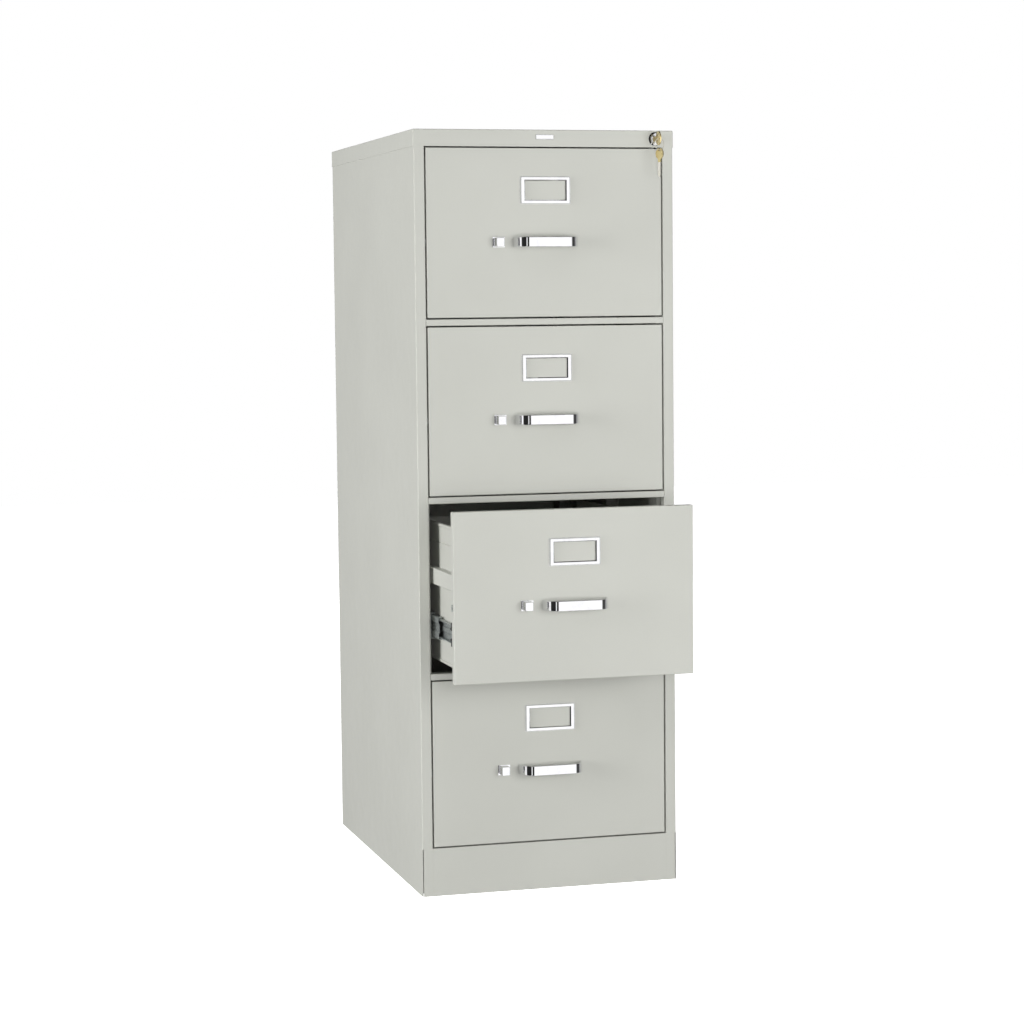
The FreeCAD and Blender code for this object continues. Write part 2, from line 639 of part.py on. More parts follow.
def build_drawers():
    """Each drawer's pieces, put at their opening and pulled out as far as they are stored."""
    for number, opened in enumerate(DRAWER_OPEN):
        for suffix, make in DRAWER_PIECES:
            move_local(make(), f"{FRONT} - {opened}", opening_top(number),
                       f"drawer_{number + 1}_{suffix}")
        move_local(slide_middle(), f"{FRONT} - {opened} / 2", opening_top(number),
                   f"drawer_{number + 1}_slide_middle")


def move_local(item, y, z, label):
    """Shift a piece from the drawer's frame into its opening, and name it."""
    if item.TypeId in ("Part::MultiFuse", "Part::Cut"):
        name_part(place(item, "0", y, z), label)
        return
    bind(item, "Placement.Base.y", f"({value_text(item, 'y')}) + {y}")
    bind(item, "Placement.Base.z", f"({value_text(item, 'z')}) + {z}")
    name_part(item, label)


def value_text(item, axis):
    """The expression that already places an object along one axis, with plain aliases."""
    for path, text in item.ExpressionEngine:
        if path.endswith("Placement.Base." + axis):
            return text.replace("dims.", "")
    return "0"


def check_and_write():
    """Stop on any failed object or bad shape, and only then write the files."""
    doc.recompute()
    failed = [item.Name for item in doc.Objects if {"Invalid", "Error"} & set(item.State)]
    if failed:
        raise RuntimeError(f"failed objects: {failed}")
    for item in sub_parts:
        if item.Shape.isNull() or not item.Shape.isValid() or not item.Shape.Solids:
            raise RuntimeError(f"bad shape: {item.Label}")
    os.makedirs("parts", exist_ok=True)
    for item in sub_parts:
        item.Shape.exportStep(f"parts/{item.Label}.step")
    print(f"{len(sub_parts)} sub-parts written")


fill_sheet()
build_case_sides()
build_case_top()
build_case_back()
build_kick_plate()
build_front_rails()
build_inner_uprights()
build_base_frame()
build_slide_case_members()
build_latch_strikes()
build_case_fasteners()
build_badge()
build_lock()
build_key_in_lock()
build_key_ring()
build_spare_key()
build_lock_bar()
build_drawers()
check_and_write()
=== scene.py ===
import math
import bmesh
import bpy
from mathutils import Matrix, Vector


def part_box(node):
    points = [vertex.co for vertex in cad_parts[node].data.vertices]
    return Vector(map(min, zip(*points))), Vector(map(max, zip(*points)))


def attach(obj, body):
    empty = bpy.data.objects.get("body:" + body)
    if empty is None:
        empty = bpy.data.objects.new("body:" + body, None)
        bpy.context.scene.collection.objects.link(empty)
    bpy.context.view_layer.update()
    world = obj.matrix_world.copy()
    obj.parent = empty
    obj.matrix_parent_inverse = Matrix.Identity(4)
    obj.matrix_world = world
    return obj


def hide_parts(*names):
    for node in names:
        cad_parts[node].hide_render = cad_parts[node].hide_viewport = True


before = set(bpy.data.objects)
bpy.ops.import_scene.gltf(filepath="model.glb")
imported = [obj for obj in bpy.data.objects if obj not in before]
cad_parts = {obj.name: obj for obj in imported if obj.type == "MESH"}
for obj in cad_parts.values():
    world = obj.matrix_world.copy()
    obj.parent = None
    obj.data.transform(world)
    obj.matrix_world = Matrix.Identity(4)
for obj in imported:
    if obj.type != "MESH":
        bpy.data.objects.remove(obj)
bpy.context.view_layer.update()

# Every size is in metres. Places come from the frame's boxes.
MM = 0.001
SHEET = 0.8 * MM
BEND = 1.7 * MM
FRONT_GAP = 2.4 * MM
RAIL_TALL = 11.1 * MM
SLIDE_SHEET = 1.2 * MM
SLIDE_BEND = 2.6 * MM
RUNNER_DEEP = 8.8 * MM
DRAWERS = (1, 2, 3, 4)

SIDE_LOW, SIDE_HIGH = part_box("case_side_right")
CAP_LOW, CAP_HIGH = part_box("case_top")
KICK_LOW, KICK_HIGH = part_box("kick_plate")
RAILS_LOW, RAILS_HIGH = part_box("front_rails")
CASE_FRONT = CAP_LOW.y
CASE_HALF = SIDE_HIGH.x
STILE_INNER = RAILS_HIGH.x


# ------------------------------------------------------------------------------- mesh helpers

def rounded(points, radius, steps=4, closed=False):
    """A polyline with its corners replaced by tangent arcs. A point may carry its own radius."""
    corners = [Vector(point[:2]) for point in points]
    count = len(corners)
    result = []
    for index, corner in enumerate(corners):
        own = points[index][2] if len(points[index]) > 2 else radius
        if not closed and index in (0, count - 1):
            result.append(corner)
            continue
        before = corners[index - 1] - corner
        after = corners[(index + 1) % count] - corner
        half_angle = before.angle(after) / 2
        if own == 0 or half_angle > math.radians(89):
            result.append(corner)
            continue
        reach = min(own / math.tan(half_angle), 0.49 * before.length, 0.49 * after.length)
        own = reach * math.tan(half_angle)
        bisector = (before.normalized() + after.normalized()).normalized()
        centre = corner + bisector * (own / math.sin(half_angle))
        start = corner + before.normalized() * reach - centre
        end = corner + after.normalized() * reach - centre
        turn = start.angle_signed(end)
        for step in range(steps + 1):
            result.append(centre + Matrix.Rotation(-turn * step / steps, 2) @ start)
    return result


def offset_path(path, distance):
    """The path moved to its left by a distance, with mitred corners."""
    moved = []
    for index, point in enumerate(path):
        directions = []
        if index > 0:
            directions.append((point - path[index - 1]).normalized())
        if index < len(path) - 1:
            directions.append((path[index + 1] - point).normalized())
        normals = [Vector((-way.y, way.x)) for way in directions]
        middle = sum(normals, Vector((0, 0))).normalized()
        moved.append(point + middle * (distance / max(middle.dot(normals[0]), 0.3)))
    return moved


def along(axis, flip=False):
    """A map from a section's (a, b) and a depth to a point, for an extrusion along one axis."""
    side = -1 if flip else 1
    maps = {
        "x": lambda a, b, depth: Vector((side * depth, a, b)),
        "y": lambda a, b, depth: Vector((side * a, depth, b)),
        "z": lambda a, b, depth: Vector((side * a, b, depth)),
    }
    return maps[axis]


def add_loop(bm, loop, depth, where):
    """The vertices of a section's loop at one depth."""
    return [bm.verts.new(where(point[0], point[1], depth)) for point in loop]


def add_sheet(bm, path, thick, low, high, where):
    """A folded sheet: the path is one of its faces, and its thickness is to the path's left."""
    inner = offset_path(path, thick)
    rows = [add_loop(bm, line, depth, where) for depth in (low, high) for line in (path, inner)]
    outer_low, inner_low, outer_high, inner_high = rows
    for pair in ((outer_low, outer_high), (inner_high, inner_low), (inner_low, outer_low),
                 (outer_high, inner_high)):
        for index in range(len(path) - 1):
            bm.faces.new((pair[0][index], pair[0][index + 1], pair[1][index + 1], pair[1][index]))
    for index in (0, -1):
        bm.faces.new((outer_low[index], inner_low[index], inner_high[index], outer_high[index]))


def add_rings(bm, rings, closed=False, capped=False):
    """Join rings of points by faces. Closed joins the last to the first, and capped fills both ends."""
    rows = [[bm.verts.new(point) for point in ring] for ring in rings]
    pairs = list(zip(rows, rows[1:]))
    if closed:
        pairs.append((rows[-1], rows[0]))
    for first, second in pairs:
        count = len(first)
        for index in range(count):
            after = (index + 1) % count
            bm.faces.new((first[index], first[after], second[after], second[index]))
    if capped:
        bm.faces.new(rows[0])
        bm.faces.new(rows[-1])


def add_box(bm, low, high):
    """A plain box. Returns its vertices."""
    low, high = Vector(low), Vector(high)
    made = bmesh.ops.create_cube(bm, size=1)
    bmesh.ops.scale(bm, vec=high - low, verts=made["verts"])
    bmesh.ops.translate(bm, vec=(low + high) / 2, verts=made["verts"])
    return made["verts"]


def add_block(bm, low, high, radius, segments=2):
    """A box with rounded edges."""
    verts = add_box(bm, low, high)
    edges = list({edge for vert in verts for edge in vert.link_edges})
    bmesh.ops.bevel(bm, geom=edges, offset=radius, segments=segments, profile=0.5, affect="EDGES",
                    clamp_overlap=True)


def add_lathe(bm, profile, centre, turn, segments=48, closed=False):
    """Turn (radius, depth) pairs about the local Z, rotated by turn: a closed ring, or a capped solid."""
    rings = []
    for radius, depth in profile:
        ring = []
        for step in range(segments):
            angle = 2 * math.pi * step / segments
            local = Vector((radius * math.cos(angle), radius * math.sin(angle), depth))
            ring.append(Vector(centre) + turn @ local)
        rings.append(ring)
    add_rings(bm, rings, closed=closed, capped=not closed)


def rectangle(half_wide, half_tall):
    """The corners of a rectangle about the origin, anticlockwise."""
    return [(-half_wide, -half_tall), (half_wide, -half_tall),
            (half_wide, half_tall), (-half_wide, half_tall)]


def mirrored(side, near, far, middle=0.0):
    """Two places at given distances from the middle, on one side of it, the lower one first."""
    return sorted((middle + side * near, middle + side * far))


def finish_mesh(name, bm, material, body, nodes=(), sharp=32):
    """Make a piece of a bmesh: its normals, smoothing, material, body and the nodes it replaces."""
    bmesh.ops.remove_doubles(bm, verts=bm.verts, dist=1e-6)
    bmesh.ops.recalc_face_normals(bm, faces=bm.faces)
    mesh = bpy.data.meshes.new(name)
    bm.to_mesh(mesh)
    bm.free()
    mesh.materials.append(material)
    for face in mesh.polygons:
        face.use_smooth = True
    mesh.set_sharp_from_angle(angle=math.radians(sharp))
    piece = bpy.data.objects.new(name, mesh)
    bpy.context.scene.collection.objects.link(piece)
    weighted = piece.modifiers.new("flat_faces", "WEIGHTED_NORMAL")
    weighted.keep_sharp = True
    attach(piece, body)
    if nodes:
        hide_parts(*nodes)
    return piece


def make_pan(name, low, high, open_side, radius, thick, material, body, nodes=()):
    """A pressed pan: a box with one open side, rounded edges and a sheet's thickness."""
    bm = bmesh.new()
    add_box(bm, low, high)
    way = Vector(open_side)
    bm.normal_update()
    opened = [face for face in bm.faces if face.normal.dot(way) > 0.9]
    rim = {edge for face in opened for edge in face.edges}
    bmesh.ops.delete(bm, geom=opened, context="FACES_ONLY")
    bends = [edge for edge in bm.edges if edge not in rim]
    bmesh.ops.bevel(bm, geom=bends, offset=radius, segments=4, profile=0.5, affect="EDGES")
    piece = finish_mesh(name, bm, material, body, nodes)
    shell = piece.modifiers.new("sheet", "SOLIDIFY")
    shell.thickness = thick
    shell.offset = -1
    shell.use_even_offset = True
    piece.modifiers.move(1, 0)
    return piece


# ---------------------------------------------------------------------------------- materials

def linear(red, green, blue):
    """An 8-bit sRGB colour as linear RGBA."""
    def one(value):
        value /= 255
        return value / 12.92 if value <= 0.04045 else ((value + 0.055) / 1.055) ** 2.4
    return one(red), one(green), one(blue), 1.0


def set_stops(node, stops):
    """Give a ramp node its (position, colour) stops."""
    while len(node.color_ramp.elements) < len(stops):
        node.color_ramp.elements.new(0.5)
    for element, (position, colour) in zip(node.color_ramp.elements, stops):
        element.position = position
        element.color = colour


def mix_colours(tree, blend, factor, first, second):
    """A mix of two colours. The factor is a number or a socket."""
    node = tree.nodes.new("ShaderNodeMix")
    node.data_type = "RGBA"
    node.blend_type = blend
    if isinstance(factor, float):
        node.inputs["Factor"].default_value = factor
    else:
        tree.links.new(factor, node.inputs["Factor"])
    tree.links.new(first, node.inputs["A"])
    tree.links.new(second, node.inputs["B"])
    return node.outputs["Result"]


class Nodes:
    """A small helper around one material's node tree, whose textures follow the piece's own axes."""

    def __init__(self, name):
        self.material = bpy.data.materials.new(name)
        self.material.use_nodes = True
        self.tree = self.material.node_tree
        self.shader = self.tree.nodes["Principled BSDF"]
        self.place = self.tree.nodes.new("ShaderNodeTexCoord").outputs["Object"]

    def join(self, source, target):
        """Link two sockets."""
        self.tree.links.new(source, target)

    def stretched(self, scale):
        """The texture's coordinates, scaled by axis."""
        mapping = self.tree.nodes.new("ShaderNodeMapping")
        mapping.inputs["Scale"].default_value = scale
        self.join(self.place, mapping.inputs["Vector"])
        return mapping.outputs["Vector"]

    def noise(self, scale, detail=2.0, roughness=0.5, vector=None):
        """Soft noise, as a factor."""
        node = self.tree.nodes.new("ShaderNodeTexNoise")
        node.inputs["Scale"].default_value = scale
        node.inputs["Detail"].default_value = detail
        node.inputs["Roughness"].default_value = roughness
        self.join(vector or self.place, node.inputs["Vector"])
        return node.outputs["Fac"]

    def cells(self, scale):
        """Flat cells of random colour."""
        node = self.tree.nodes.new("ShaderNodeTexVoronoi")
        node.inputs["Scale"].default_value = scale
        self.join(self.place, node.inputs["Vector"])
        return node.outputs["Color"]

    def ramp(self, factor, stops):
        """Colours by (position, colour) stops along a factor."""
        node = self.tree.nodes.new("ShaderNodeValToRGB")
        set_stops(node, stops)
        self.join(factor, node.inputs["Fac"])
        return node.outputs["Color"]

    def spread(self, factor, low, high):
        """The middle of a noise's range, spread between two values."""
        node = self.tree.nodes.new("ShaderNodeMapRange")
        node.inputs["To Min"].default_value = low
        node.inputs["To Max"].default_value = high
        node.inputs["From Min"].default_value = 0.3
        node.inputs["From Max"].default_value = 0.7
        self.join(factor, node.inputs["Value"])
        return node.outputs["Result"]

    def bump(self, layers):
        """Stack bumps, each (height, strength, distance), and feed the last to the shader."""
        normal = None
        for height, strength, distance in layers:
            node = self.tree.nodes.new("ShaderNodeBump")
            node.inputs["Strength"].default_value = strength
            node.inputs["Distance"].default_value = distance
            self.join(height, node.inputs["Height"])
            if normal:
                self.join(normal, node.inputs["Normal"])
            normal = node.outputs["Normal"]
        self.join(normal, self.shader.inputs["Normal"])


def paint_material(name, light, dark, roughness):
    """Baked enamel: faint mottling, orange peel and an uneven gloss."""
    made = Nodes(name)
    broad = made.noise(5.0, 3.0)
    colour = made.ramp(broad, [(0.35, dark), (0.65, light)])
    speckle = made.ramp(made.noise(1500.0, 1.0), [(0.3, (0.93, 0.93, 0.93, 1)), (0.7, (1, 1, 1, 1))])
    made.join(mix_colours(made.tree, "MULTIPLY", 0.5, colour, speckle), made.shader.inputs["Base Color"])
    made.join(made.spread(made.noise(40.0, 4.0), roughness - 0.05, roughness + 0.06),
              made.shader.inputs["Roughness"])
    made.shader.inputs["Specular IOR Level"].default_value = 0.4
    made.shader.inputs["Coat Weight"].default_value = 0.12
    made.shader.inputs["Coat Roughness"].default_value = 0.25
    made.bump([(made.noise(420.0, 2.0), 0.10, 0.00012), (made.noise(1800.0, 1.0), 0.06, 0.00005)])
    return made.material


def metal_material(name, light, dark, roughness, grain, peel=0.04, metallic=1.0):
    """Plated or bare metal with fine directional scratches."""
    made = Nodes(name)
    scratches = made.noise(1.0, 4.0, 0.6, made.stretched(grain))
    smudge = made.noise(60.0, 3.0)
    made.join(made.ramp(smudge, [(0.3, dark), (0.7, light)]), made.shader.inputs["Base Color"])
    made.join(made.spread(scratches, roughness[0], roughness[1]), made.shader.inputs["Roughness"])
    made.shader.inputs["Metallic"].default_value = metallic
    made.bump([(scratches, peel, 0.00004)])
    return made.material


def zinc_material():
    """Zinc plate: blue-grey, with faint spangle and roll marks along the slide."""
    made = Nodes("zinc_plate")
    spangle = made.ramp(made.cells(380.0), [(0.0, linear(150, 158, 158)), (1.0, linear(206, 212, 210))])
    rolling = (900.0, 18.0, 900.0)
    streaks = made.ramp(made.noise(1.0, 4.0, 0.6, made.stretched(rolling)),
                        [(0.3, (0.8, 0.8, 0.8, 1)), (0.7, (1, 1, 1, 1))])
    made.join(mix_colours(made.tree, "MULTIPLY", 0.8, spangle, streaks), made.shader.inputs["Base Color"])
    made.join(made.spread(made.noise(300.0, 3.0), 0.30, 0.46), made.shader.inputs["Roughness"])
    made.shader.inputs["Metallic"].default_value = 0.75
    made.bump([(made.noise(1.0, 4.0, 0.6, made.stretched(rolling)), 0.12, 0.00006)])
    return made.material


def plastic_material():
    """Moulded black plastic with a fine grain."""
    made = Nodes("black_plastic")
    made.join(made.ramp(made.noise(200.0, 3.0), [(0.3, linear(14, 14, 15)), (0.7, linear(34, 34, 35))]),
              made.shader.inputs["Base Color"])
    made.join(made.spread(made.noise(500.0, 2.0), 0.35, 0.6), made.shader.inputs["Roughness"])
    made.bump([(made.noise(1400.0, 2.0), 0.2, 0.0001)])
    return made.material


def floor_material():
    """A pale, faintly uneven studio floor that glows, so that it reads as white."""
    made = Nodes("studio_floor")
    made.join(made.ramp(made.noise(3.0, 3.0), [(0.3, linear(246, 246, 246)), (0.7, linear(251, 251, 251))]),
              made.shader.inputs["Base Color"])
    made.join(made.spread(made.noise(30.0, 3.0), 0.75, 0.9), made.shader.inputs["Roughness"])
    made.bump([(made.noise(200.0, 2.0), 0.05, 0.0002)])
    made.shader.inputs["Emission Color"].default_value = (1, 1, 1, 1)
    made.shader.inputs["Emission Strength"].default_value = 1.0
    return made.material


PAINT = paint_material("grey_enamel", linear(190, 191, 184), linear(187, 188, 181), 0.42)
# A darker copy of the same grey enamel for the parts inside the case: painted shade, because the real
# inside is the same grey as the outside.
SHADED_PAINT = paint_material("grey_enamel_painted_shade", linear(172, 173, 166), linear(160, 161, 154), 0.5)
CHROME = metal_material("bright_chrome", (0.90, 0.90, 0.91, 1), (0.82, 0.82, 0.84, 1), (0.03, 0.10),
                        (60.0, 900.0, 900.0))
BRASS = metal_material("key_brass", linear(250, 236, 186), linear(226, 202, 138), (0.14, 0.30),
                       (700.0, 700.0, 60.0), 0.10, 0.8)
NICKEL = metal_material("key_nickel", linear(244, 242, 234), linear(222, 219, 208), (0.14, 0.30),
                        (700.0, 700.0, 60.0), 0.10, 0.5)
ZINC = zinc_material()
PLASTIC = plastic_material()
FLOOR = floor_material()


# --------------------------------------------------------------------------------------- case

def side_paths(half, stile, front, back):
    """Plans of a side panel: with its front stile, and cut short where the stile is cut away."""
    flange = 20 * MM
    full = [(half - flange, back), (half, back), (half, front), (stile, front), (stile, front + 18 * MM)]
    plain = [(half - flange, back), (half, back), (half, front + 0.2 * MM)]
    return rounded(full, BEND), rounded(plain, BEND)


def make_case_side(label, flip):
    """A side panel in three lengths: beside the kick plate, beside the drawers and under the cap."""
    bm = bmesh.new()
    full, plain = side_paths(CASE_HALF, STILE_INNER, CASE_FRONT, SIDE_HIGH.y)
    where = along("z", flip)
    add_sheet(bm, plain, -SHEET, 0.0, KICK_HIGH.z, where)
    add_sheet(bm, full, -SHEET, KICK_HIGH.z, CAP_LOW.z, where)
    add_sheet(bm, plain, -SHEET, CAP_LOW.z, SIDE_HIGH.z, where)
    finish_mesh(f"side_panel_{label}", bm, PAINT, "case", [f"case_side_{label}"])


def make_case_top():
    """The cap, whose skirt laps over the side panels, and the return below its front."""
    make_pan("top_cap", CAP_LOW, CAP_HIGH, (0, 0, -1), 1.8 * MM, 1.2 * MM, PAINT, "case", ["case_top"])
    bm = bmesh.new()
    add_block(bm, (-STILE_INNER, CASE_FRONT + 1.3 * MM, CAP_LOW.z),
              (STILE_INNER, CASE_FRONT + 15 * MM, CAP_LOW.z + 1.2 * MM), 0.3 * MM)
    finish_mesh("top_cap_return", bm, PAINT, "case")


def make_kick_plate():
    """The kick plate: a channel between the stiles, and a flat strip from each end to the side panel."""
    bm = bmesh.new()
    deep = KICK_HIGH.y
    path = [(deep, 0.0), (CASE_FRONT, 0.0), (CASE_FRONT, KICK_HIGH.z), (deep, KICK_HIGH.z)]
    add_sheet(bm, rounded(path, 0.8 * MM), -SHEET, -STILE_INNER, STILE_INNER, along("x"))
    for side in (-1, 1):
        ends = mirrored(side, STILE_INNER, CASE_HALF - 2.0 * MM)
        add_block(bm, (ends[0], CASE_FRONT, 0.0), (ends[1], CASE_FRONT + SHEET, KICK_HIGH.z), 0.25 * MM)
    finish_mesh("kick_panel", bm, PAINT, "case", ["kick_plate"])


def rail_heights():
    """Low and high edge of the three divider rails, found from the gaps between the fronts."""
    heights = []
    for number in DRAWERS[:-1]:
        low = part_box(f"drawer_{number + 1}_front")[1].z + FRONT_GAP
        heights.append((low, low + RAIL_TALL))
    return heights


def make_rails():
    """The three divider rails, each a channel that is open at the back."""
    bm = bmesh.new()
    for low, high in rail_heights():
        path = [(RAILS_HIGH.y, low), (CASE_FRONT, low), (CASE_FRONT, high), (RAILS_HIGH.y, high)]
        add_sheet(bm, rounded(path, 1.2 * MM), -SHEET, -STILE_INNER, STILE_INNER, along("x"))
    finish_mesh("divider_rails", bm, PAINT, "case", ["front_rails"])


def make_back():
    """The back panel with its domed rivets."""
    low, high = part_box("case_back")
    bm = bmesh.new()
    add_block(bm, low, high, 0.3 * MM)
    finish_mesh("back_panel", bm, PAINT, "case", ["case_back"])
    bm = bmesh.new()
    rivet_low, rivet_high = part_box("case_fasteners")
    radius = 3.0 * MM
    count = 8
    step = (rivet_high.z - rivet_low.z - 2 * radius) / (count - 1)
    turn = Matrix.Rotation(-math.pi / 2, 3, "X")
    dome = [(radius, 0.0), (radius * 0.95, 0.35 * MM), (radius * 0.7, 0.7 * MM), (radius * 0.3, 0.88 * MM)]
    for side in (rivet_low.x + radius, rivet_high.x - radius):
        for index in range(count):
            place = (side, high.y, rivet_low.z + radius + index * step)
            add_lathe(bm, dome, place, turn, 20)
    finish_mesh("rivets", bm, PAINT, "case", ["case_fasteners"])


def make_case_members():
    """Eight lipped channels of the slides, with rounded folds."""
    bm = bmesh.new()
    low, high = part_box("slide_case_members")
    web, lip = high.x, high.x - 9.0 * MM
    half = 22.5 * MM
    for number in DRAWERS:
        middle = slide_level(number)
        bottom, top = middle - half, middle + half
        path = [(lip, top), (web, top), (web, bottom), (lip, bottom)]
        for flip in (False, True):
            add_sheet(bm, rounded(path, 4.0 * MM, 6), -SLIDE_SHEET, low.y, high.y, along("y", flip))
    finish_mesh("slide_case_channels", bm, ZINC, "case", ["slide_case_members"])


def slide_level(number):
    """The height of a drawer's slides."""
    low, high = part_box(f"drawer_{number}_runners")
    return (low.z + high.z) / 2


def make_badge():
    """A blank plate with a raised border."""
    low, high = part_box("badge_plate")
    bm = bmesh.new()
    rings = []
    front = low.y
    border = ((0.0, high.y), (0.0, front + 0.4 * MM), (0.4, front), (1.2, front), (1.5, front + 0.35 * MM))
    for inset, depth in border:
        corners = rectangle((high.x - low.x) / 2 - inset * MM, (high.z - low.z) / 2 - inset * MM)
        loop = rounded(corners, (1.6 - inset) * MM, 3, closed=True)
        rings.append([Vector((point.x, depth, (low.z + high.z) / 2 + point.y)) for point in loop])
    add_rings(bm, rings, capped=True)
    finish_mesh("blank_badge", bm, CHROME, "case", ["badge_plate"])


# --------------------------------------------------------------------------------------- lock

KEY_HOLE_Y = CASE_FRONT - 24.5 * MM
RING_TURN = Matrix.Rotation(math.radians(22), 3, "Z")


def lock_axis():
    """The place of the lock's axis, as x and z."""
    low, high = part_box("lock_plug")
    return (low.x + high.x) / 2, (low.z + high.z) / 2


def make_lock():
    """The chrome ring with its sleeve behind the rail, and the plug with its dished face."""
    x, z = lock_axis()
    centre = (x, CASE_FRONT, z)
    turn = Matrix.Rotation(math.pi / 2, 3, "X")
    low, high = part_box("lock_housing")
    proud = CASE_FRONT - low.y
    outer, bore = (high.x - low.x) / 2, 7.0 * MM
    sleeve, sleeve_end = 9.5 * MM, -20 * MM
    ring = [(bore, -2 * MM), (bore, proud - 2.4 * MM), (bore + 1.5 * MM, proud - 0.7 * MM),
            (bore + 1.8 * MM, proud - 0.1 * MM), (bore + 2.4 * MM, proud),
            (outer - 2.2 * MM, proud - 0.2 * MM), (outer - 0.5 * MM, proud - 1.6 * MM), (outer, 0.3 * MM),
            (outer, 0.0), (sleeve, 0.0), (sleeve, sleeve_end), (bore, sleeve_end)]
    bm = bmesh.new()
    add_lathe(bm, ring, centre, turn, 64, closed=True)
    finish_mesh("lock_ring", bm, CHROME, "case", ["lock_housing"])
    face = CASE_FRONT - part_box("lock_plug")[0].y
    dish = face - 0.8 * MM
    plug = [(6.5 * MM, sleeve_end), (6.5 * MM, face - 1.2 * MM), (5.4 * MM, face), (4.6 * MM, face),
            (4.0 * MM, dish), (0.3 * MM, dish)]
    bm = bmesh.new()
    add_lathe(bm, plug, centre, turn)
    finish_mesh("lock_barrel", bm, CHROME, "lock_plug", ["lock_plug"])


def key_outline(bow, waist, shoulder, length, teeth):
    """The loop round a key in its plane: bow about the origin, blade along +a, teeth on its lower edge."""
    top = []
    arc_steps, neck_angle = 12, 0.42
    for step in range(arc_steps + 1):
        angle = math.pi - step * (math.pi - neck_angle) / arc_steps
        top.append(Vector((bow * math.cos(angle), bow * math.sin(angle))))
    end_of_bow = top[-1].x
    top += [Vector((end_of_bow + 1.5 * MM, waist)), Vector((end_of_bow + 4 * MM, waist)),
            Vector((end_of_bow + 4.4 * MM, shoulder)), Vector((length - 3 * MM, shoulder)),
            Vector((length, shoulder * 0.3))]
    bottom = []
    for point in top[1:-4]:
        bottom.append(Vector((point.x, -point.y)))
    start = end_of_bow + 4.6 * MM
    bottom.append(Vector((start, -shoulder)))
    span = length - 4 * MM - start
    for index, depth in enumerate(teeth):
        left = start + span * (index + 0.15) / len(teeth)
        right = start + span * (index + 0.85) / len(teeth)
        bottom.append(Vector((left, -shoulder + depth * MM)))
        bottom.append(Vector((right, -shoulder + depth * MM)))
    bottom.append(Vector((length, -shoulder * 0.3)))
    return top + list(reversed(bottom))


def add_key(bm, loop, hole, thick, where):
    """A flat key with a round hole: two filled faces, joined by walls round the outline and the hole."""
    rim = []
    ring_steps = 24
    for sign in (-1, 1):
        depth = sign * thick / 2
        outer = [bm.verts.new(where(point.x, point.y, depth)) for point in loop]
        inner = []
        for step in range(ring_steps):
            angle = 2 * math.pi * step / ring_steps
            inner.append(bm.verts.new(where(hole[0] + hole[2] * math.cos(angle),
                                            hole[1] + hole[2] * math.sin(angle), depth)))
        edges = []
        for ring in (outer, inner):
            for index in range(len(ring)):
                edges.append(bm.edges.new((ring[index], ring[(index + 1) % len(ring)])))
        bmesh.ops.triangle_fill(bm, edges=edges, use_beauty=True)
        rim.append((outer, inner))
    for first, second in zip(rim[0], rim[1]):
        for index in range(len(first)):
            after = (index + 1) % len(first)
            bm.faces.new((first[index], first[after], second[after], second[index]))


def make_lock_key():
    """The key in the plug, edge-on to the front. Returns its thickness."""
    x, z = lock_axis()
    low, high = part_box("key_in_lock")
    bow = (high.z - low.z) / 2
    bow_y = low.y + bow
    thick = high.x - low.x
    loop = key_outline(bow, 4.2 * MM, 3.5 * MM, high.y - bow_y, (0.4, 1.2, 0.6, 1.4, 0.8))
    bm = bmesh.new()
    add_key(bm, loop, (KEY_HOLE_Y - bow_y, 0.0, 2.6 * MM), thick,
            lambda a, b, depth: Vector((x + depth, bow_y + a, z + b)))
    finish_mesh("lock_key", bm, BRASS, "lock_plug", ["key_in_lock"], 25)
    return thick


def make_spare_key(thick):
    """The spare key that hangs on the ring: brass down to its collar, and nickel below."""
    x, z = lock_axis()
    low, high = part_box("spare_key")
    bow = 9.5 * MM
    hole_z, bow_z = z - 20 * MM, high.z - bow
    loop = key_outline(bow, 3.6 * MM, 3.0 * MM, bow_z - low.z, (0.5, 1.3, 0.7, 1.1, 0.4))
    bm = bmesh.new()
    add_key(bm, loop, (bow_z - hole_z, 0.0, 2.4 * MM), thick,
            lambda a, b, depth: Vector((x, KEY_HOLE_Y, bow_z)) + RING_TURN @ Vector((depth, b, -a)))
    collar = bow_z - bow - 5 * MM
    bmesh.ops.bisect_plane(bm, geom=bm.verts[:] + bm.edges[:] + bm.faces[:], plane_co=(0, 0, collar),
                           plane_no=(0, 0, 1))
    key = finish_mesh("hanging_key", bm, BRASS, "spare_key", ["spare_key"], 25)
    key.data.materials.append(NICKEL)
    for face in key.data.polygons:
        face.material_index = int(face.center.z < collar)


def make_split_ring():
    """The split ring that joins the keys: a wire wound nearly twice round."""
    x, z = lock_axis()
    radius, wire, lead = 10 * MM, 0.45 * MM, 0.9 * MM
    turns, steps, sides = 1.9, 96, 8
    centre = Vector((x, KEY_HOLE_Y, z - radius))
    outward = Vector((0, 1, 0))
    rings = []
    for step in range(steps + 1):
        share = step / steps
        angle = math.pi / 2 + 2 * math.pi * turns * share
        radial = Vector((math.cos(angle), 0, math.sin(angle)))
        middle = radial * radius + outward * (share - 0.5) * lead
        ring = []
        for side in range(sides):
            turn = 2 * math.pi * side / sides
            around = radial * math.cos(turn) + outward * math.sin(turn)
            ring.append(centre + RING_TURN @ (middle + around * wire))
        rings.append(ring)
    bm = bmesh.new()
    add_rings(bm, rings, capped=True)
    finish_mesh("split_ring", bm, NICKEL, "key_ring", ["key_ring"], 50)


# ------------------------------------------------------------------------------------- drawers

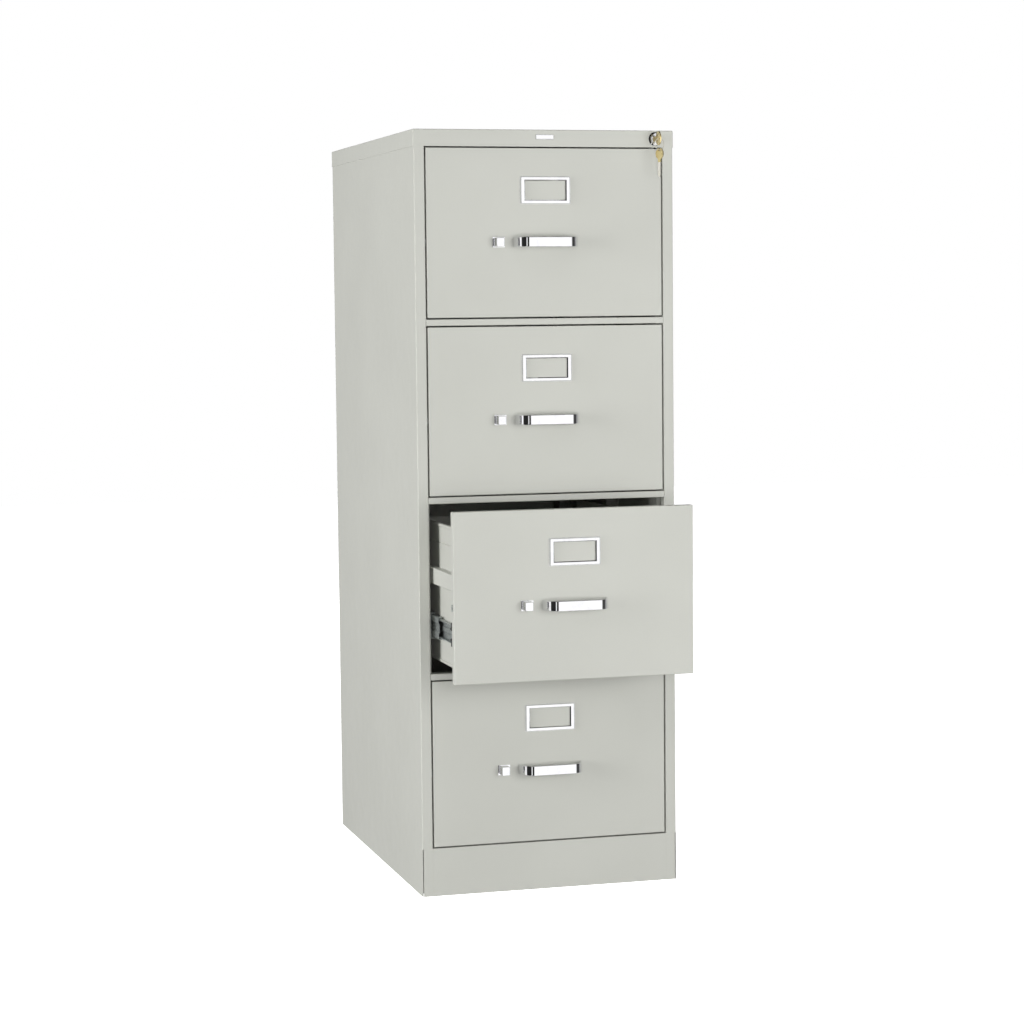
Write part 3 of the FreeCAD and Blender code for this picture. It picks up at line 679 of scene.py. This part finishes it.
def make_front(number):
    """The outer pan of a drawer front, and the liner pan that closes its back."""
    low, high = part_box(f"drawer_{number}_front")
    make_pan(f"drawer_{number}_face", low, high, (0, 1, 0), 1.1 * MM, SHEET, PAINT, f"drawer_{number}",
             [f"drawer_{number}_front"])
    liner_low, liner_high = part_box(f"drawer_{number}_front_liner")
    make_pan(f"drawer_{number}_liner", liner_low, (liner_high.x, high.y, liner_high.z), (0, -1, 0), BEND,
             SHEET, PAINT, f"drawer_{number}", [f"drawer_{number}_front_liner"])


def tray_path(half, top, floor):
    """Right half of the tray's section, from its rolled top edge down to the floor's corner."""
    opening = top + 33 * MM
    bead = opening - 65.6 * MM
    band = half + 12 * MM
    band_top, band_low = opening - 109.6 * MM, opening - 137.4 * MM
    roll, roll_low = half - 5.5 * MM, top - 4.6 * MM
    hem, swell = half + 1.1 * MM, half + 1.4 * MM
    return [
        (roll, roll_low, 1.2 * MM), (roll, top, 2.2 * MM), (hem, top, 2.2 * MM), (hem, roll_low, 1.0 * MM),
        (half, top - 5.6 * MM, 0.4 * MM),
        (half, bead + 1.3 * MM, 0.2 * MM), (half - 1.3 * MM, bead, 0.3 * MM),
        (half, bead - 1.3 * MM, 0.2 * MM),
        (half, band_top, 1.0 * MM), (band, band_top, 1.2 * MM),
        (band, band_low, 1.2 * MM), (half, band_low, 1.0 * MM),
        (half, floor + 6.0 * MM, 0.4 * MM), (swell, floor + 4.4 * MM, 1.0 * MM), (swell, floor, 2.0 * MM),
    ]


def make_tray(number):
    """A drawer's body: its folded sheet, its back wall and the two guides of the follower block."""
    low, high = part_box(f"drawer_{number}_tray")
    half = high.x - 12 * MM
    right = tray_path(half, high.z, low.z)
    left = [(-point[0],) + tuple(point[1:]) for point in right]
    path = rounded(left + list(reversed(right)), BEND)
    bm = bmesh.new()
    add_sheet(bm, path, SHEET, low.y, high.y, along("y"))
    wall_top = high.z - 27 * MM
    add_block(bm, (-half + SHEET, high.y - SHEET, low.z), (half - SHEET, high.y, wall_top), 0.2 * MM)
    floor = low.z + SHEET
    for side in (-1, 1):
        ends = mirrored(side, 6 * MM, 14 * MM)
        add_block(bm, (ends[0], low.y + 10 * MM, floor), (ends[1], high.y - 5 * MM, floor + 4 * MM),
                  0.8 * MM)
    finish_mesh(f"drawer_{number}_body", bm, PAINT, f"drawer_{number}", [f"drawer_{number}_tray"])


def make_label_holder(number):
    """A pressed frame: a thin base flange, a steep outer wall, a flat face and an inner bevel."""
    low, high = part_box(f"drawer_{number}_label_holder")
    centre_z = (low.z + high.z) / 2
    wide, tall = (high.x - low.x) / 2, (high.z - low.z) / 2
    border_x, border_z = 9.0 * MM, 7.3 * MM
    proud = high.y - low.y
    section = [(0, 0), (0, 0.5 * MM), (0.4 * MM, 0.5 * MM, 0.3 * MM), (1.8 * MM, proud, 0.7 * MM),
               (7.3 * MM, proud, 0.3 * MM), (border_x, proud - 1.3 * MM), (border_x, 0)]
    rings = []
    for inset, out in rounded(section, 0):
        share = inset / border_x
        radius = max(1.6 * (1 - share), 0.4) * MM
        loop = rounded(rectangle(wide - inset, tall - border_z * share), radius, 3, closed=True)
        rings.append([Vector((point.x, high.y - out, centre_z + point.y)) for point in loop])
    bm = bmesh.new()
    add_rings(bm, rings, closed=True)
    finish_mesh(f"drawer_{number}_label_frame", bm, CHROME, f"drawer_{number}",
                [f"drawer_{number}_label_holder"], 22)


def make_pull(number):
    """A bow pull: a strip with softly rounded edges, bent round at both ends to its feet."""
    low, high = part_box(f"drawer_{number}_pull")
    foot, base = high.x, high.y
    half_thick = 1.8 * MM
    front = low.y + half_thick
    middle = [(-foot + 1.5 * MM, base - 0.3 * MM), (-foot + 10 * MM, front),
              (foot - 10 * MM, front), (foot - 1.5 * MM, base - 0.3 * MM)]
    path = rounded(middle, 20 * MM, 20)
    half = (high.z - low.z) / 2
    centre_z = (low.z + high.z) / 2
    section = rounded(rectangle(half, half_thick), 1.5 * MM, 4, closed=True)
    rings = []
    for index, point in enumerate(path):
        before, after = path[max(index - 1, 0)], path[min(index + 1, len(path) - 1)]
        way = (after - before).normalized()
        normal = Vector((way.y, -way.x))
        ring = []
        for across, out in section:
            spot = point + normal * out
            ring.append(Vector((spot.x, min(spot.y, base), centre_z + across)))
        rings.append(ring)
    bm = bmesh.new()
    add_rings(bm, rings, capped=True)
    finish_mesh(f"drawer_{number}_bow_pull", bm, CHROME, f"drawer_{number}", [f"drawer_{number}_pull"],
                40)


def make_button(number):
    """The square thumb latch: a waisted button with a soft edge, its base plate and the stem behind."""
    low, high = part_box(f"drawer_{number}_latch_button")
    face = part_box(f"drawer_{number}_front")[0].y
    left, right = low.x + 3 * MM, high.x - 4 * MM
    bottom, top = low.z + 1 * MM, high.z - 1 * MM
    bm = bmesh.new()
    add_block(bm, (low.x, face - 1.5 * MM, low.z), (high.x, face - 0.3 * MM, high.z), 0.4 * MM)
    rings = []
    centre = Vector(((left + right) / 2, 0, (bottom + top) / 2))
    half_x, half_z = (right - left) / 2, (top - bottom) / 2
    profile = ((1.0, face - 1.5 * MM), (0.98, face - 5 * MM), (0.9, face - 6 * MM), (0.9, face - 8 * MM),
               (0.98, face - 9 * MM), (0.98, low.y + 1.6 * MM), (0.92, low.y + 0.5 * MM), (0.82, low.y))
    for share, depth in profile:
        loop = rounded(rectangle(half_x * share, half_z * share), 2.0 * MM * share, 3, closed=True)
        rings.append([Vector((centre.x + point.x, depth, centre.z + point.y)) for point in loop])
    add_rings(bm, rings, capped=True)
    add_block(bm, (centre.x - 3.5 * MM, face - 0.4 * MM, centre.z - 2.5 * MM),
              (centre.x + 2.5 * MM, high.y, centre.z + 2.5 * MM), 0.3 * MM)
    finish_mesh(f"drawer_{number}_thumb_latch", bm, CHROME, f"latch_{number}",
                [f"drawer_{number}_latch_button"], 30)


def make_runners(number):
    """The pair of runners on the drawer, each with a rib along its web."""
    middle = slide_level(number)
    low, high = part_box(f"drawer_{number}_runners")
    half = (high.z - low.z) / 2
    web = high.x - RUNNER_DEEP
    rib = web + 1.6 * MM
    path = [(high.x, middle + half), (web, middle + half), (web, middle + 5 * MM, 1.5 * MM),
            (rib, middle + 3 * MM, 1.5 * MM), (rib, middle - 3 * MM, 1.5 * MM),
            (web, middle - 5 * MM, 1.5 * MM), (web, middle - half), (high.x, middle - half)]
    bm = bmesh.new()
    for flip in (False, True):
        add_sheet(bm, rounded(path, SLIDE_BEND, 5), SLIDE_SHEET, low.y, high.y, along("y", flip))
    finish_mesh(f"drawer_{number}_runner_pair", bm, ZINC, f"drawer_{number}", [f"drawer_{number}_runners"])


def make_slide_stops(number):
    """The black plastic blocks at the runners' fronts, above and below the rib, each with a tail."""
    middle = slide_level(number)
    low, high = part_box(f"drawer_{number}_runners")
    web, front = high.x - RUNNER_DEEP, low.y
    bm = bmesh.new()
    for side in (-1, 1):
        for way in (-1, 1):
            xs = mirrored(side, web + 1.4 * MM, web + 10.4 * MM)
            zs = mirrored(way, 6.0 * MM, 20.6 * MM, middle)
            tail = middle + way * 9.5 * MM
            add_block(bm, (xs[0], front - 7.5 * MM, zs[0]), (xs[1], front + 26 * MM, zs[1]), 1.6 * MM, 3)
            add_block(bm, (xs[0], front + 24 * MM, tail - 2 * MM),
                      (xs[1] - 1.5 * MM, front + 30 * MM, tail + 2 * MM), 0.8 * MM)
    finish_mesh(f"drawer_{number}_slide_stops", bm, PLASTIC, f"drawer_{number}")


def add_ball_cages(bm, middle, inner, outer, low, high):
    """The strips that hold the balls: a pair over the member's back, and a pair inside its front."""
    for side in (-1, 1):
        xs = mirrored(side, inner, outer)
        for way in (-1, 1):
            for start, near, far in ((high - 200 * MM, 19.3, 20.9), (low + 20 * MM, 16.2, 18.2)):
                zs = mirrored(way, near * MM, far * MM, middle)
                add_block(bm, (xs[0], start, zs[0]), (xs[1], start + 180 * MM, zs[1]), 0.3 * MM)


def make_middle_members(number):
    """The pair of middle members: lipped channels with a groove, rivet heads and ball cages."""
    middle = slide_level(number)
    low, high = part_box(f"drawer_{number}_slide_middle")
    half = 19.4 * MM
    web, edge = high.x, high.x - 6.9 * MM
    groove = web - 1.7 * MM
    path = [(edge, middle + half), (web, middle + half), (web, middle + 9 * MM, 1 * MM),
            (groove, middle + 7 * MM, 1 * MM), (groove, middle - 7 * MM, 1 * MM),
            (web, middle - 9 * MM, 1 * MM), (web, middle - half), (edge, middle - half)]
    bm = bmesh.new()
    head = [(3.2 * MM, -0.2 * MM), (3.0 * MM, 0.7 * MM), (2.0 * MM, 1.2 * MM), (0.8 * MM, 1.3 * MM)]
    for side in (-1, 1):
        outward = Matrix.Rotation(side * math.pi / 2, 3, "Y")
        for step in (14, 38, 110, 210, 330, 450):
            add_lathe(bm, head, (side * groove, low.y + step * MM, middle), outward, 20)
    for flip in (False, True):
        add_sheet(bm, rounded(path, SLIDE_BEND, 5), -SLIDE_SHEET, low.y, high.y, along("y", flip))
    add_ball_cages(bm, middle, edge + 1 * MM, web - 2.2 * MM, low.y, high.y)
    finish_mesh(f"drawer_{number}_middle_pair", bm, ZINC, f"slide_middle_{number}",
                [f"drawer_{number}_slide_middle"])


def make_drawers():
    """Everything that rides on the four drawers and their slides."""
    for number in DRAWERS:
        make_front(number)
        make_tray(number)
        make_label_holder(number)
        make_pull(number)
        make_button(number)
        make_runners(number)
        make_slide_stops(number)
        make_middle_members(number)


# ------------------------------------------------------------------------- plain carried nodes

def finish_cad_nodes():
    """Materials and softened edges for the CAD nodes that show as they are. The parts inside the case and
    the trays take a darker copy of the grey enamel, which is painted shade.
    """
    # The uprights, the base frame and the trays' followers get the darker enamel, which paints in the shade
    # of the inside.
    looks = {"inner_uprights": SHADED_PAINT, "base_frame": SHADED_PAINT, "latch_strikes": ZINC,
             "lock_bar": ZINC, "lock_bar_guides": ZINC, "lock_cam": ZINC}
    for number in DRAWERS:
        looks[f"drawer_{number}_latch_bar"] = ZINC
        looks[f"drawer_{number}_follower"] = SHADED_PAINT
    for name, material in looks.items():
        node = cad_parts[name]
        node.data.materials.clear()
        node.data.materials.append(material)
        bevel = node.modifiers.new("soft_edges", "BEVEL")
        bevel.width = 0.3 * MM
        bevel.segments = 2
        bevel.limit_method = "ANGLE"


# --------------------------------------------------------------------------------------- stage

def make_floor():
    """The studio's floor, which neither lights the cabinet nor shows in its chrome."""
    bm = bmesh.new()
    bmesh.ops.create_grid(bm, x_segments=8, y_segments=8, size=9.0)
    mesh = bpy.data.meshes.new("floor")
    bm.to_mesh(mesh)
    bm.free()
    mesh.materials.append(FLOOR)
    floor = bpy.data.objects.new("floor", mesh)
    bpy.context.scene.collection.objects.link(floor)
    floor.visible_diffuse = False
    floor.visible_glossy = False


def make_camera():
    """The camera: turned 15.6 degrees to the right, 4.6 degrees down, and rolled slightly."""
    data = bpy.data.cameras.new("camera")
    data.sensor_width = 36.0
    data.lens = 91.66
    camera = bpy.data.objects.new("camera", data)
    yaw, pitch, roll = math.radians(15.605), math.radians(-4.573), math.radians(-0.584)
    forward = Vector((math.sin(yaw) * math.cos(pitch), math.cos(yaw) * math.cos(pitch), math.sin(pitch)))
    right = Vector((math.cos(yaw), -math.sin(yaw), 0))
    up = right.cross(forward)
    right, up = (math.cos(roll) * right + math.sin(roll) * up,
                 -math.sin(roll) * right + math.cos(roll) * up)
    turned = Matrix((right, up, -forward)).transposed().to_4x4()
    place = (-1.2741, -4.6663, 1.0240)
    camera.matrix_world = Matrix.Translation(place) @ turned
    bpy.context.scene.collection.objects.link(camera)
    bpy.context.scene.camera = camera


def add_area(name, place, target, size, power):
    """A soft light that shows in no reflection, because the world holds the studio's reflections."""
    light = bpy.data.lights.new(name, "AREA")
    light.shape = "RECTANGLE"
    light.size, light.size_y = size
    light.energy = power
    lamp = bpy.data.objects.new(name, light)
    lamp.location = place
    lamp.rotation_euler = (Vector(target) - Vector(place)).to_track_quat("-Z", "Y").to_euler()
    lamp.visible_glossy = False
    bpy.context.scene.collection.objects.link(lamp)


def level_ramp(tree, direction, stops):
    """Levels of grey along one axis of a direction, whose -1 to 1 is mapped to 0 to 1."""
    node = tree.nodes.new("ShaderNodeValToRGB")
    set_stops(node, [(position, (level, level, level, 1)) for position, level in stops])
    spread = tree.nodes.new("ShaderNodeMapRange")
    spread.inputs["From Min"].default_value = -1
    tree.links.new(direction, spread.inputs["Value"])
    tree.links.new(spread.outputs["Result"], node.inputs["Fac"])
    return node.outputs["Color"]


def studio_flags(tree):
    """What glossy surfaces see: bright panels between dark flags, by the reflection's direction."""
    place = tree.nodes.new("ShaderNodeTexCoord")
    split = tree.nodes.new("ShaderNodeSeparateXYZ")
    tree.links.new(place.outputs["Generated"], split.inputs["Vector"])
    x, y, z = (split.outputs[axis] for axis in "XYZ")
    ahead = level_ramp(tree, x, [(0.0, 0.02), (0.24, 0.02), (0.27, 0.95), (0.30, 0.95), (0.33, 0.02),
                                 (0.44, 0.02), (0.485, 1.0), (0.82, 1.0), (0.88, 0.05)])
    behind = level_ramp(tree, x, [(0.0, 0.95), (0.03, 0.9), (0.07, 0.5), (0.12, 0.4), (0.4, 0.26),
                                  (1.0, 0.3)])
    backward = level_ramp(tree, y, [(0.38, 0.0), (0.44, 1.0)])
    upward = level_ramp(tree, z, [(0.0, 0.45), (0.12, 1.0), (0.66, 1.0), (0.78, 0.08), (1.0, 0.06)])
    around = mix_colours(tree, "MIX", backward, ahead, behind)
    return mix_colours(tree, "MULTIPLY", 1.0, around, upward)


def background(tree, strength, colour=None):
    """A background of one strength, white or of a colour."""
    node = tree.nodes.new("ShaderNodeBackground")
    node.inputs["Strength"].default_value = strength
    node.inputs["Color"].default_value = (1, 1, 1, 1)
    if colour:
        tree.links.new(colour, node.inputs["Color"])
    return node.outputs["Background"]


def switch(tree, chosen, otherwise, when_chosen):
    """One background or the other, by a factor."""
    node = tree.nodes.new("ShaderNodeMixShader")
    tree.links.new(chosen, node.inputs["Fac"])
    tree.links.new(otherwise, node.inputs[1])
    tree.links.new(when_chosen, node.inputs[2])
    return node.outputs["Shader"]


def make_world():
    """White for the camera, an even fill for matt surfaces, and a studio with dark flags for gloss."""
    world = bpy.data.worlds.new("studio")
    bpy.context.scene.world = world
    world.use_nodes = True
    tree = world.node_tree
    tree.nodes.clear()
    output = tree.nodes.new("ShaderNodeOutputWorld")
    rays = tree.nodes.new("ShaderNodeLightPath").outputs
    gloss = background(tree, 1.2, studio_flags(tree))
    unseen = switch(tree, rays["Is Glossy Ray"], background(tree, 0.14), gloss)
    seen = switch(tree, rays["Is Camera Ray"], unseen, background(tree, 1.0))
    tree.links.new(seen, output.inputs["Surface"])


def make_studio():
    """The floor, the world and the lamps."""
    make_floor()
    make_world()
    add_area("key", (-0.7, -4.3, 0.75), (0, -0.34, 0.55), (1.4, 1.4), 69)
    add_area("fill", (1.7, -3.4, 0.8), (0, -0.34, 0.6), (2.0, 2.0), 63)
    add_area("side", (-4.6, -0.9, 1.1), (-0.23, 0, 0.7), (2.4, 2.4), 238)
    add_area("overhead", (0.3, -2.6, 3.6), (0, -0.3, 0.6), (3.0, 2.0), 18)
    add_area("back", (1.2, 4.4, 1.7), (0, 0.34, 0.6), (2.4, 2.4), 60)
    bpy.context.scene.view_settings.view_transform = "Standard"


make_camera()
make_case_side("right", flip=False)
make_case_side("left", flip=True)
make_case_top()
make_kick_plate()
make_rails()
make_back()
make_case_members()
make_badge()
make_lock()
make_spare_key(make_lock_key())
make_split_ring()
make_drawers()
finish_cad_nodes()
make_studio()
